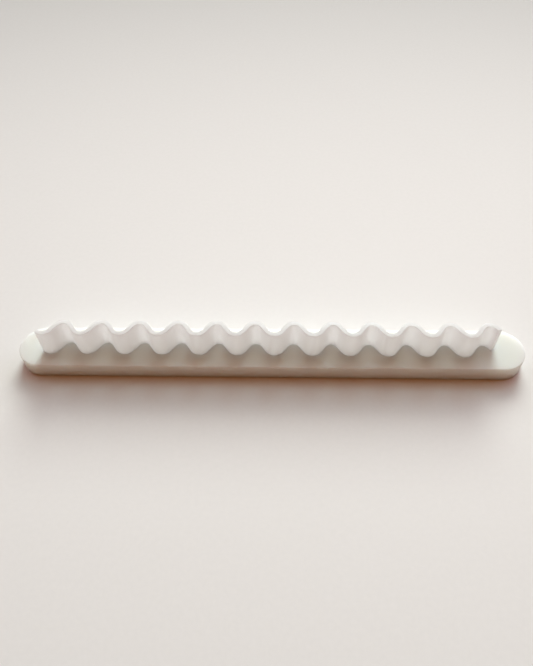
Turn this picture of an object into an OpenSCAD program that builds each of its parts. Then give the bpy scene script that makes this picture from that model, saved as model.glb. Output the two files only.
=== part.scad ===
// Wave scoring board: a narrow handle board with one upright, wave-shaped scoring rule.
// Millimetres. +X runs along the board, +Y across it and +Z up.
// The origin is the middle of the underside.

/* [Board] */
// Length of the board, over its round ends
board_length = 134.8; // [132:0.2:145]
// Width of the board
board_width = 12.6; // [11:0.2:18]
// Thickness of the board
board_thickness = 5.0; // [3.6:0.1:8]
// Bevel that breaks the board's top and bottom edges
edge_break = 0.2; // [0.1:0.05:0.6]

/* [Waves] */
// Length of one wave
wave_pitch = 10; // [9:0.1:10.4]
// Number of waves
wave_count = 12; // [6:1:12]
// Sideways swing of the rule's middle line, from its centre line to a crest
wave_swing = 1.85; // [0.5:0.05:2.0]
// Fullness of the waves: 0 is a plain sine, and more gives rounder crests and steeper flanks
wave_fullness = 0.06; // [0:0.01:0.08]
// How far into its first wave the rule starts, in degrees of that wave
start_angle = 30; // [0:5:45]

/* [Scoring rule] */
// Height of the scoring edge above the board
rule_height = 8.2; // [4:0.1:14]
// Thickness of the rule
rule_thickness = 1.2; // [0.8:0.1:1.6]
// Depth of the rule's root below the board's top
root_depth = 2.8; // [1.5:0.1:3]
// Clearance between the root and each wall of its kerf
kerf_clearance = 0.05; // [0.03:0.01:0.15]
// How far the middle of the waves lies from the middle of the board
rule_shift = -1.1; // [-2:0.1:2]

/* [Hidden] */
$fn = 96;

// Straight steps that stand for one wave of the curve
steps_per_wave = 20;
total_steps = wave_count * steps_per_wave - floor(start_angle / 360 * steps_per_wave);

end_radius = board_width / 2;
straight_length = board_length - board_width;
kerf_floor = board_thickness - root_depth;
wave_start = rule_shift - wave_count * wave_pitch / 2;

// The waves' middle line. "turn" is the angle run through since the first wave began.
first_turn = start_angle;
last_turn = 360 * wave_count;
function turn_at(i) = first_turn + (last_turn - first_turn) * i / total_steps;
function swing_share(turn) = (sin(turn) + wave_fullness * sin(3 * turn)) / (1 - wave_fullness);
function line_point(turn) = [wave_start + wave_pitch * turn / 360, -wave_swing * swing_share(turn)];

// Unit vector square to the middle line, to its left
function share_rate(turn) = (cos(turn) + 3 * wave_fullness * cos(3 * turn)) / (1 - wave_fullness);
function line_slope(turn) = -wave_swing * 2 * PI / wave_pitch * share_rate(turn);
function line_normal(turn) = [-line_slope(turn), 1] / sqrt(1 + pow(line_slope(turn), 2));
function side_point(turn, offset) = line_point(turn) + offset * line_normal(turn);

// Unit vector along the middle line
function line_heading(turn) = [line_normal(turn)[1], -line_normal(turn)[0]];

// Closed outline of a strip that follows the waves, run past both ends by "extra"
module wave_strip(half_width, extra = 0) {
    left_side = [for (i = [0 : total_steps]) side_point(turn_at(i), half_width)];
    right_side = [for (i = [total_steps : -1 : 0]) side_point(turn_at(i), -half_width)];
    start_cap = [for (side = [-1, 1])
        side_point(first_turn, side * half_width) - extra * line_heading(first_turn)];
    end_cap = [for (side = [1, -1])
        side_point(last_turn, side * half_width) + extra * line_heading(last_turn)];
    if (extra > 0) {
        polygon(concat(start_cap, left_side, end_cap, right_side));
    } else {
        polygon(concat(left_side, right_side));
    }
}

// Half of the board's section, from its middle plane outwards, with both edges broken
module half_section() {
    polygon([
        [0, 0],
        [end_radius - edge_break, 0],
        [end_radius, edge_break],
        [end_radius, board_thickness - edge_break],
        [end_radius - edge_break, board_thickness],
        [0, board_thickness]
    ]);
}

module board_blank() {
    rotate([90, 0, 90]) {
        linear_extrude(height = straight_length, center = true) {
            half_section();
            mirror([1, 0]) half_section();
        }
    }
    for (end = [-1, 1]) {
        translate([end * straight_length / 2, 0, 0]) rotate_extrude() half_section();
    }
}

module base_board() {
    color([0.88, 0.88, 0.85]) {
        difference() {
            board_blank();
            translate([0, 0, kerf_floor]) {
                linear_extrude(height = board_thickness) {
                    wave_strip(rule_thickness / 2 + kerf_clearance, kerf_clearance);
                }
            }
        }
    }
}

module scoring_rule() {
    color([0.92, 0.90, 0.87]) {
        translate([0, 0, kerf_floor]) {
            linear_extrude(height = root_depth + rule_height) wave_strip(rule_thickness / 2);
        }
    }
}

base_board();
scoring_rule();
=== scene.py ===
"""Looks for the wave scoring board: a narrow handle board with one wave-shaped scoring rule.

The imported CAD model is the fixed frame. Both CAD solids are replaced by finer meshes with rounded
edges and print layers, and get procedural plastics. All sizes are in metres, with +X along the board
and +Z up, and the camera looks at the board from -Y.
"""

import bisect
import itertools
import math

import bmesh
import bpy
from mathutils import Matrix, Vector
from mathutils.geometry import delaunay_2d_cdt


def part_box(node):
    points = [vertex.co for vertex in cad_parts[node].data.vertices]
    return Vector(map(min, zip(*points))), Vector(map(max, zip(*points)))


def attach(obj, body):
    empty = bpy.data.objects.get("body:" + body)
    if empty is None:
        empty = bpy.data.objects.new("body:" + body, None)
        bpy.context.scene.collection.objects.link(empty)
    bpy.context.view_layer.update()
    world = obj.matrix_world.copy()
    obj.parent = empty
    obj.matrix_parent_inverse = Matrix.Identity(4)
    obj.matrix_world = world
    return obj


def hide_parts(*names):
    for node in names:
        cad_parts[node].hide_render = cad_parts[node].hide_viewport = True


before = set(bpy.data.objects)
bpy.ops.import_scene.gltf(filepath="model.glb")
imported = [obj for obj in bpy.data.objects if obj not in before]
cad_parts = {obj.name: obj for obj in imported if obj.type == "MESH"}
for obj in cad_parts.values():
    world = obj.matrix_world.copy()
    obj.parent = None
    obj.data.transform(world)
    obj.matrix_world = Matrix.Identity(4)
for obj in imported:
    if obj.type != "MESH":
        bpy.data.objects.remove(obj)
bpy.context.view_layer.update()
board_low, board_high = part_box("base_board")
rule_low, rule_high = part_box("scoring_rule")

MM = 0.001

# The waves, as the CAD model has them
WAVE_PITCH = 10 * MM
WAVE_COUNT = 12
START_TURN = math.radians(30)
END_TURN = 2 * math.pi * WAVE_COUNT
WAVE_FULLNESS = 0.06  # 0 is a plain sine, and more gives rounder crests and steeper flanks
RULE_THICKNESS = 1.2 * MM
WAVE_SWING = (rule_high.y - rule_low.y - RULE_THICKNESS) / 2

# Rounded edges, and the hairline between the rule's root and its kerf
BOARD_TOP_RADIUS = 0.2 * MM
BOARD_FOOT_RADIUS = 0.15 * MM
RULE_TOP_RADIUS = 0.15 * MM
RULE_FOOT_RADIUS = 0.1 * MM
RULE_CORNER_RADIUS = 0.25 * MM
LEAST_CORNER_RADIUS = 0.02 * MM  # what is left of it where the outline is moved inwards
KERF_GAP = 0.02 * MM
EDGE_LOOP = 0.06 * MM  # a loop this far in from each rounded edge keeps the flat face's shading flat

# How finely curves are drawn
EDGE_STEPS = 6
CORNER_STEPS = 5
ARC_STEPS = 48
STATION_GAP = 0.5 * MM  # between neighbouring points along the rule
SHARP_ANGLE = math.radians(40)

# Print layers on the upright faces, and the printed lines of the flat skin
LAYER_HEIGHT = 0.2 * MM
LAYER_GROOVE = 0.006 * MM
SKIN_LINE_PITCH = 0.42 * MM

# Plastics
BOARD_DARKEST = (0.730, 0.728, 0.668)
BOARD_PALEST = (0.755, 0.753, 0.700)
BOARD_SMUDGE = (0.700, 0.692, 0.628)
RULE_DARKEST = (0.835, 0.825, 0.805)
RULE_PALEST = (0.865, 0.860, 0.845)
# Painted light: the colour of the rule's upward-facing top edge, made whiter as if lit from above
RULE_PAINTED_TOP_LIGHT = (0.960, 0.955, 0.940)
RULE_LIGHT_THROUGH = (0.93, 0.91, 0.90)
RULE_SHARE_THROUGH = 0.6
PLASTIC_IOR = 1.46

# The floor's colour holds a painted pool of light: brightest at one point, it fades over an oval to a
# painted shade colour far out
FLOOR_HALF_SIZE = 3.0
FLOOR_PAINTED_LIGHT_CENTRE = Vector((46, 30)) * MM
FLOOR_PAINTED_FALLOFF_SIZE = Vector((550, 343)) * MM
FLOOR_COLOUR = (0.86, 0.82, 0.79)
FLOOR_PAINTED_SHADE_COLOUR = (0.47, 0.45, 0.43)

# Past the floor's edge: the colour that the camera sees, and the room's light
SURROUND_COLOUR = (0.40, 0.37, 0.345)
ROOM_GLOW = (0.214, 0.081, 0.027)

# Soft panels: name, azimuth, elevation, width and height in degrees, brightness, colour
PANEL_DISTANCE = 8.0
PANELS = (
    ("window", 9, 30, 32, 24, 1.02, (0.90, 1.0, 0.97)),
    ("window_top", 9, 54, 32, 24, 0.24, (0.59, 0.92, 1.0)),
    ("window_high", 9, 76, 50, 20, 0.10, (0.84, 1.0, 0.94)),
    ("left_side", -50, 27, 48, 35, 0.22, (0.78, 0.81, 1.0)),
    ("right_side", 54, 27, 50, 35, 0.30, (0.74, 0.76, 1.0)),
)

# The camera looks down at the target by its elevation. A positive turn is towards +X, and a positive
# roll is anticlockwise.
CAMERA_ELEVATION = math.radians(52)
CAMERA_TURN = math.radians(-2.61)
CAMERA_ROLL = math.radians(-1.61)
CAMERA_DISTANCE = 171.46 * MM
CAMERA_TARGET = Vector((-1.1, 8.45, 0.6)) * MM
CAMERA_LENS_MM = 32.9486  # for a picture whose longer side takes up the sensor's 36 mm


# ---------------------------------------------------------------- outlines


def wave_normal(turn):
    """Unit vector square to the waves' middle line, to its left.

    A turn is the angle run through since the first wave began.
    """
    rate = (math.cos(turn) + 3 * WAVE_FULLNESS * math.cos(3 * turn)) / (1 - WAVE_FULLNESS)
    slope = -WAVE_SWING * 2 * math.pi / WAVE_PITCH * rate
    return Vector((-slope, 1)) / math.hypot(slope, 1)


# The rule's highest x is a corner of its far end, so the first wave begins this far along the board.
WAVE_START = rule_high.x - RULE_THICKNESS / 2 * wave_normal(END_TURN).x - WAVE_COUNT * WAVE_PITCH


def wave_point(turn):
    """A point on the waves' middle line."""
    share = (math.sin(turn) + WAVE_FULLNESS * math.sin(3 * turn)) / (1 - WAVE_FULLNESS)
    return Vector((WAVE_START + WAVE_PITCH * turn / (2 * math.pi), -WAVE_SWING * share))


def measured_turns(steps_per_wave=200):
    """Turns from one end of the rule to the other, and how far along the middle line each one lies."""
    steps = steps_per_wave * WAVE_COUNT
    turns = [START_TURN + (END_TURN - START_TURN) * i / steps for i in range(steps + 1)]
    reached = [0.0]
    for before, after in zip(turns, turns[1:]):
        reached.append(reached[-1] + (wave_point(after) - wave_point(before)).length)
    return turns, reached


TURNS, REACHED = measured_turns()
RULE_LENGTH = REACHED[-1]


def strip_point(distance, offset):
    """The point this far along the middle line from the rule's near end, and offset to its left."""
    i = min(max(bisect.bisect_right(REACHED, distance), 1), len(REACHED) - 1)
    share = (distance - REACHED[i - 1]) / (REACHED[i] - REACHED[i - 1])
    turn = TURNS[i - 1] + share * (TURNS[i] - TURNS[i - 1])
    return wave_point(turn) + offset * wave_normal(turn)


def strip_outline(inset):
    """The rule's outline in plan, moved inwards: left side, far end, right side and near end."""
    half = RULE_THICKNESS / 2
    reach = max(RULE_CORNER_RADIUS - inset, LEAST_CORNER_RADIUS)
    keep = inset + reach
    count = round((RULE_LENGTH - 2 * RULE_CORNER_RADIUS) / STATION_GAP)
    along = [keep + (RULE_LENGTH - 2 * keep) * i / count for i in range(count + 1)]
    left = [strip_point(s, half - inset) for s in along]
    right = [strip_point(s, inset - half) for s in along]

    def corner(at, side, first, steps):
        angles = [math.radians(first - 90 * i / CORNER_STEPS) for i in steps]
        middle = side * (half - keep)
        return [strip_point(at + reach * math.cos(a), middle + reach * math.sin(a)) for a in angles]

    leaving, arriving = range(1, CORNER_STEPS + 1), range(CORNER_STEPS)
    far_end = corner(RULE_LENGTH - keep, 1, 90, leaving) + corner(RULE_LENGTH - keep, -1, 0, arriving)
    near_end = corner(keep, -1, -90, leaving) + corner(keep, 1, 180, arriving)
    return left, far_end, right[::-1], near_end


def stadium_outline(inset):
    """The board's outline in plan, moved inwards by inset, anticlockwise from the right end's arc."""
    half_width = (board_high.y - board_low.y) / 2
    arc_centre = (board_high.x - board_low.x) / 2 - half_width
    points = []
    for end, first in ((1, -90), (-1, 90)):
        for i in range(ARC_STEPS + 1):
            angle = math.radians(first + 180 * i / ARC_STEPS)
            arm = Vector((math.cos(angle), math.sin(angle))) * (half_width - inset)
            points.append(Vector((end * arc_centre, 0)) + arm)
    return points


def inside(point, loop):
    """Whether a point lies inside a closed outline."""
    hit = False
    for a, b in zip(loop, loop[1:] + loop[:1]):
        if (a.y > point.y) != (b.y > point.y):
            if point.x < a.x + (point.y - a.y) / (b.y - a.y) * (b.x - a.x):
                hit = not hit
    return hit


# ---------------------------------------------------------------- meshes


def side_levels(low, high, low_radius, high_radius, first_layer):
    """(height, inset) pairs up a side with rounded edges, and a shallow groove between print layers.

    The layers begin above first_layer, and the side is plain below that.
    """
    angles = [math.pi / 2 * i / EDGE_STEPS for i in range(EDGE_STEPS + 1)]
    levels = [(low, low_radius + EDGE_LOOP)]
    levels += [(low + low_radius * (1 - math.cos(a)), low_radius * (1 - math.sin(a))) for a in angles]
    layer = math.ceil(first_layer / LAYER_HEIGHT) + 1
    while (layer + 0.5) * LAYER_HEIGHT < high - high_radius:
        levels.append((layer * LAYER_HEIGHT, LAYER_GROOVE))
        levels.append(((layer + 0.5) * LAYER_HEIGHT, 0.0))
        layer += 1
    levels += [(high - high_radius * (1 - math.sin(a)), high_radius * (1 - math.cos(a))) for a in angles]
    return levels + [(high, high_radius + EDGE_LOOP)]


def ring_verts(bm, points, height):
    return [bm.verts.new((p.x, p.y, height)) for p in points]


def bridge(bm, lower, upper):
    """Faces between two closed rings with as many points each."""
    for i in range(len(lower)):
        j = (i + 1) % len(lower)
        bm.faces.new((lower[i], lower[j], upper[j], upper[i]))


def strip_cap(bm, ring, runs):
    """Closes a ring of strip_outline's four runs, by quads across the strip and a face at each end."""
    starts = [0, *itertools.accumulate(len(run) for run in runs)]
    left, far, right, near = [ring[a:b] for a, b in zip(starts, starts[1:])]
    right.reverse()
    for i in range(len(left) - 1):
        bm.faces.new((left[i], right[i], right[i + 1], left[i + 1]))
    bm.faces.new([left[-1], *far, right[-1]])
    bm.faces.new([right[0], *near, left[0]])


def flat_fill(bm, outer_points, outer, inner_points, inner):
    """A flat face between a convex outline and a hole in it, as triangles."""
    points, verts = outer_points + inner_points, outer + inner
    first = len(outer)
    edges = [(i, (i + 1) % first) for i in range(first)]
    edges += [(first + i, first + (i + 1) % len(inner)) for i in range(len(inner))]
    whole_hull, merge_distance = 0, 1e-9
    faces = delaunay_2d_cdt(points, edges, [], whole_hull, merge_distance)[2]
    for face in faces:
        middle = sum((points[i] for i in face), Vector((0, 0))) / len(face)
        if min(face) < first or not inside(middle, inner_points):
            bm.faces.new([verts[i] for i in face])


def finish_mesh(bm, name):
    bmesh.ops.recalc_face_normals(bm, faces=bm.faces)
    mesh = bpy.data.meshes.new(name)
    bm.to_mesh(mesh)
    bm.free()
    mesh.shade_smooth()
    mesh.set_sharp_from_angle(angle=SHARP_ANGLE)
    piece = bpy.data.objects.new(name, mesh)
    bpy.context.scene.collection.objects.link(piece)
    return piece


def make_rule():
    """The strip from the floor of its kerf to its scoring edge, with print layers above the board."""
    bm = bmesh.new()
    below = None
    levels = side_levels(rule_low.z, rule_high.z, RULE_FOOT_RADIUS, RULE_TOP_RADIUS, board_high.z)
    for height, inset in levels:
        runs = strip_outline(inset)
        ring = ring_verts(bm, [p for run in runs for p in run], height)
        if below is None:
            strip_cap(bm, ring, runs)
        else:
            bridge(bm, below, ring)
        below = ring
    strip_cap(bm, below, runs)
    return finish_mesh(bm, "scoring_rule_strip")


def make_board():
    """The board with its layered side and the wave-shaped kerf that holds the rule's root."""
    bm = bmesh.new()
    below = None
    first_layer = board_low.z + LAYER_HEIGHT
    levels = side_levels(board_low.z, board_high.z, BOARD_FOOT_RADIUS, BOARD_TOP_RADIUS, first_layer)
    for height, inset in levels:
        points = stadium_outline(inset)
        ring = ring_verts(bm, points, height)
        if below is None:
            bm.faces.new(ring)
        else:
            bridge(bm, below, ring)
        below = ring
    runs = strip_outline(-KERF_GAP)
    mouth_points = [p for run in runs for p in run]
    mouth = ring_verts(bm, mouth_points, board_high.z)
    kerf_floor = ring_verts(bm, mouth_points, rule_low.z)
    bridge(bm, kerf_floor, mouth)
    strip_cap(bm, kerf_floor, runs)
    flat_fill(bm, points, below, mouth_points, mouth)
    return finish_mesh(bm, "base_board_body")


# ---------------------------------------------------------------- materials


class Surface:
    """A material being built: its nodes, its shader, and small helpers that return output sockets."""

    def __init__(self, name):
        self.material = bpy.data.materials.new(name)
        self.material.use_nodes = True
        self.nodes = self.material.node_tree.nodes
        self.shader = self.nodes["Principled BSDF"]
        self.place = self.nodes.new("ShaderNodeTexCoord").outputs["Object"]
        self.normal = self.nodes.new("ShaderNodeNewGeometry").outputs["Normal"]

    def link(self, output, target):
        """Feeds an input socket from an output socket, or sets it if output is a plain number."""
        if isinstance(output, (int, float)):
            target.default_value = output
        else:
            self.material.node_tree.links.new(output, target)

    def math(self, operation, first, second=0.0, clamp=False):
        node = self.nodes.new("ShaderNodeMath")
        node.operation = operation
        node.use_clamp = clamp
        self.link(first, node.inputs[0])
        self.link(second, node.inputs[1])
        return node.outputs[0]

    def part(self, vector, axis):
        """One component of a vector: axis is X, Y or Z."""
        node = self.nodes.new("ShaderNodeSeparateXYZ")
        self.link(vector, node.inputs[0])
        return node.outputs[axis]

    def noise(self, feature_size, detail):
        """Soft noise from 0 to 1 with lumps of about feature_size metres."""
        node = self.nodes.new("ShaderNodeTexNoise")
        node.inputs["Scale"].default_value = 1 / feature_size
        node.inputs["Detail"].default_value = detail
        self.link(self.place, node.inputs["Vector"])
        return node.outputs["Fac"]

    def spread(self, value, from_low, from_high, to_low, to_high, smooth=False):
        """Stretches a range of values to another range, and holds it there outside."""
        node = self.nodes.new("ShaderNodeMapRange")
        node.interpolation_type = "SMOOTHSTEP" if smooth else "LINEAR"
        node.inputs["From Min"].default_value = from_low
        node.inputs["From Max"].default_value = from_high
        node.inputs["To Min"].default_value = to_low
        node.inputs["To Max"].default_value = to_high
        self.link(value, node.inputs["Value"])
        return node.outputs["Result"]

    def blend(self, share, first, second):
        """A colour between two colours, each a tuple or a socket."""
        node = self.nodes.new("ShaderNodeMix")
        node.data_type = "RGBA"
        first_socket, second_socket, result = node.inputs[6], node.inputs[7], node.outputs[2]
        self.link(share, node.inputs["Factor"])
        for colour, target in ((first, first_socket), (second, second_socket)):
            if isinstance(colour, tuple):
                target.default_value = (*colour, 1)
            else:
                self.link(colour, target)
        return result

    def bump(self, height, depth):
        """Bump whose height of 0 to 1 stands for depth metres."""
        node = self.nodes.new("ShaderNodeBump")
        node.inputs["Distance"].default_value = depth
        self.link(height, node.inputs["Height"])
        self.link(node.outputs["Normal"], self.shader.inputs["Normal"])
        return node.outputs["Normal"]


def skin_lines(surface):
    """Height of the skin's printed lines, at 45 degrees on level faces and none elsewhere."""
    along = surface.math("ADD", surface.part(surface.place, "X"), surface.part(surface.place, "Y"))
    turns = surface.math("MULTIPLY", along, 2 * math.pi / (SKIN_LINE_PITCH * math.sqrt(2)))
    wave = surface.spread(surface.math("SINE", turns), -1, 1, 0, 1)
    level = surface.spread(surface.math("ABSOLUTE", surface.part(surface.normal, "Z")), 0.9, 0.99, 0, 1)
    return surface.math("MULTIPLY", wave, level)


def board_plastic():
    """White printed plastic, a little cloudy and smudged from handling, smoother underneath."""
    surface = Surface("board_plastic")
    shader = surface.shader
    clouds = surface.noise(9 * MM, 3)
    fresh = surface.blend(clouds, BOARD_DARKEST, BOARD_PALEST)
    smudges = surface.spread(surface.noise(14 * MM, 4), 0.56, 0.75, 0, 0.5)
    surface.link(surface.blend(smudges, fresh, BOARD_SMUDGE), shader.inputs["Base Color"])

    grain = surface.noise(0.25 * MM, 3)
    handled = surface.spread(grain, 0.3, 0.7, 0.56, 0.68)
    underneath = surface.spread(surface.part(surface.normal, "Z"), -0.95, -0.8, 1, 0)
    bed_side = surface.math("MULTIPLY", underneath, -0.22)
    surface.link(surface.math("ADD", handled, bed_side), shader.inputs["Roughness"])

    lines = surface.math("MULTIPLY", skin_lines(surface), 0.4)
    surface.bump(surface.math("ADD", surface.math("MULTIPLY", grain, 0.6), lines), 0.012 * MM)
    shader.inputs["IOR"].default_value = PLASTIC_IOR
    shader.inputs["Subsurface Weight"].default_value = 1.0
    shader.inputs["Subsurface Radius"].default_value = (1, 0.92, 0.85)
    shader.inputs["Subsurface Scale"].default_value = 5 * MM
    return surface.material


def rule_plastic():
    """The same plastic in a thin strip that lets light through, burnished at its top, with painted light
    making its upward-facing top edge whiter.
    """
    surface = Surface("rule_plastic")
    shader = surface.shader
    clouds = surface.noise(6 * MM, 3)
    clean = surface.blend(clouds, RULE_DARKEST, RULE_PALEST)
    height = surface.part(surface.place, "Z")
    # Painted light: the rounded top edge, which faces up, is painted whiter where it would catch the
    # light
    painted_top_light = surface.spread(height, rule_high.z - RULE_TOP_RADIUS, rule_high.z, 0, 1)
    surface.link(surface.blend(painted_top_light, clean, RULE_PAINTED_TOP_LIGHT), shader.inputs["Base Color"])

    grain = surface.noise(0.2 * MM, 3)
    matt = surface.spread(grain, 0.3, 0.7, 0.52, 0.64)
    rub_foot, rub_top = rule_high.z - 0.7 * MM, rule_high.z - 0.1 * MM
    burnished = surface.spread(height, rub_foot, rub_top, 0, -0.22, smooth=True)
    surface.link(surface.math("ADD", matt, burnished), shader.inputs["Roughness"])
    normal = surface.bump(grain, 0.008 * MM)
    shader.inputs["IOR"].default_value = PLASTIC_IOR

    through = surface.nodes.new("ShaderNodeBsdfTranslucent")
    through.inputs["Color"].default_value = (*RULE_LIGHT_THROUGH, 1)
    surface.link(normal, through.inputs["Normal"])
    mix = surface.nodes.new("ShaderNodeMixShader")
    mix.inputs["Fac"].default_value = RULE_SHARE_THROUGH
    surface.link(shader.outputs[0], mix.inputs[1])
    surface.link(through.outputs[0], mix.inputs[2])
    surface.link(mix.outputs[0], surface.nodes["Material Output"].inputs["Surface"])
    return surface.material


def floor_paper():
    """Pale paper with a faint grain and a painted pool of light, with painted shade making it darker far
    from the board.
    """
    surface = Surface("floor_paper")
    # Painted light: the paper's colour is brightest at one point, and painted darker, as shade, over an
    # oval around it.
    middle = surface.nodes.new("ShaderNodeMapping")
    shrink_x, shrink_y = 1 / FLOOR_PAINTED_FALLOFF_SIZE.x, 1 / FLOOR_PAINTED_FALLOFF_SIZE.y
    shift = (-FLOOR_PAINTED_LIGHT_CENTRE.x * shrink_x, -FLOOR_PAINTED_LIGHT_CENTRE.y * shrink_y, 0)
    middle.inputs["Location"].default_value = shift
    middle.inputs["Scale"].default_value = (shrink_x, shrink_y, 0)
    surface.link(surface.place, middle.inputs["Vector"])
    far = surface.nodes.new("ShaderNodeVectorMath")
    far.operation = "LENGTH"
    surface.link(middle.outputs[0], far.inputs[0])
    painted_falloff = surface.spread(far.outputs["Value"], 0, 1, 0, 1, smooth=True)
    grain = surface.spread(surface.noise(1.2 * MM, 4), 0.3, 0.7, -0.02, 0.02)
    share = surface.math("ADD", painted_falloff, grain, clamp=True)
    colour = surface.blend(share, FLOOR_COLOUR, FLOOR_PAINTED_SHADE_COLOUR)
    surface.link(colour, surface.shader.inputs["Base Color"])
    surface.shader.inputs["Roughness"].default_value = 0.9
    surface.shader.inputs["Specular IOR Level"].default_value = 0.1
    return surface.material


# ---------------------------------------------------------------- floor, lights and camera


def make_floor():
    bm = bmesh.new()
    bmesh.ops.create_grid(bm, x_segments=1, y_segments=1, size=FLOOR_HALF_SIZE)
    floor = finish_mesh(bm, "floor")
    floor.location.z = board_low.z
    floor.data.materials.append(floor_paper())


def soft_panel(name, azimuth, elevation, wide, tall, brightness, colour):
    """A far soft panel, its place and its width and height given in degrees as seen from the board.

    Azimuth 0 is straight behind the board and 90 is at its right end. Brightness is the light that the
    panel throws squarely on a surface, as a share of what makes white paper white.
    """
    a, e = math.radians(azimuth), math.radians(elevation)
    data = bpy.data.lights.new(name, "AREA")
    data.shape = "RECTANGLE"
    data.size = 2 * PANEL_DISTANCE * math.tan(math.radians(wide) / 2) * math.cos(e)
    data.size_y = 2 * PANEL_DISTANCE * math.tan(math.radians(tall) / 2)
    data.energy = brightness * (math.pi * PANEL_DISTANCE) ** 2
    data.color = colour
    light = bpy.data.objects.new(name, data)
    away = Vector((math.sin(a) * math.cos(e), math.cos(a) * math.cos(e), math.sin(e)))
    light.location = away * PANEL_DISTANCE
    light.rotation_euler = away.to_track_quat("Z", "Y").to_euler()
    light.visible_camera = False
    bpy.context.scene.collection.objects.link(light)


def make_camera():
    data = bpy.data.cameras.new("camera")
    data.lens = CAMERA_LENS_MM
    data.clip_start = 0.01
    data.clip_end = 20
    e, t, r = CAMERA_ELEVATION, CAMERA_TURN, CAMERA_ROLL
    forward = Vector((math.sin(t) * math.cos(e), math.cos(t) * math.cos(e), -math.sin(e)))
    level_side = Vector((math.cos(t), -math.sin(t), 0))
    level_up = level_side.cross(forward)
    side = level_side * math.cos(r) + level_up * math.sin(r)
    up = level_up * math.cos(r) - level_side * math.sin(r)
    place = Matrix((side, up, -forward)).transposed().to_4x4()
    place.translation = CAMERA_TARGET - forward * CAMERA_DISTANCE
    camera = bpy.data.objects.new("camera", data)
    camera.matrix_world = place
    bpy.context.scene.collection.objects.link(camera)
    bpy.context.scene.camera = camera


def make_surround():
    """Past the floor's edge the camera sees the far floor's tone, and the light is a dim warm glow."""
    world = bpy.data.worlds.new("surround")
    world.use_nodes = True
    nodes, links = world.node_tree.nodes, world.node_tree.links
    glow = nodes["Background"]
    seen = nodes.new("ShaderNodeBackground")
    mix = nodes.new("ShaderNodeMixShader")
    glow.inputs["Color"].default_value = (*ROOM_GLOW, 1)
    seen.inputs["Color"].default_value = (*SURROUND_COLOUR, 1)
    links.new(nodes.new("ShaderNodeLightPath").outputs["Is Camera Ray"], mix.inputs["Fac"])
    links.new(glow.outputs[0], mix.inputs[1])
    links.new(seen.outputs[0], mix.inputs[2])
    links.new(mix.outputs[0], nodes["World Output"].inputs["Surface"])
    bpy.context.scene.world = world


# ---------------------------------------------------------------- the scene

board = make_board()
rule = make_rule()
board.data.materials.append(board_plastic())
rule.data.materials.append(rule_plastic())

parts = ((board, "base_board", "board_plastic"), (rule, "scoring_rule", "rule_plastic"))
for piece, node, slot in parts:
    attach(piece, "root")
    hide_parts(node)

make_floor()
make_surround()
for panel in PANELS:
    soft_panel(*panel)
make_camera()
bpy.context.scene.view_settings.view_transform = "Standard"
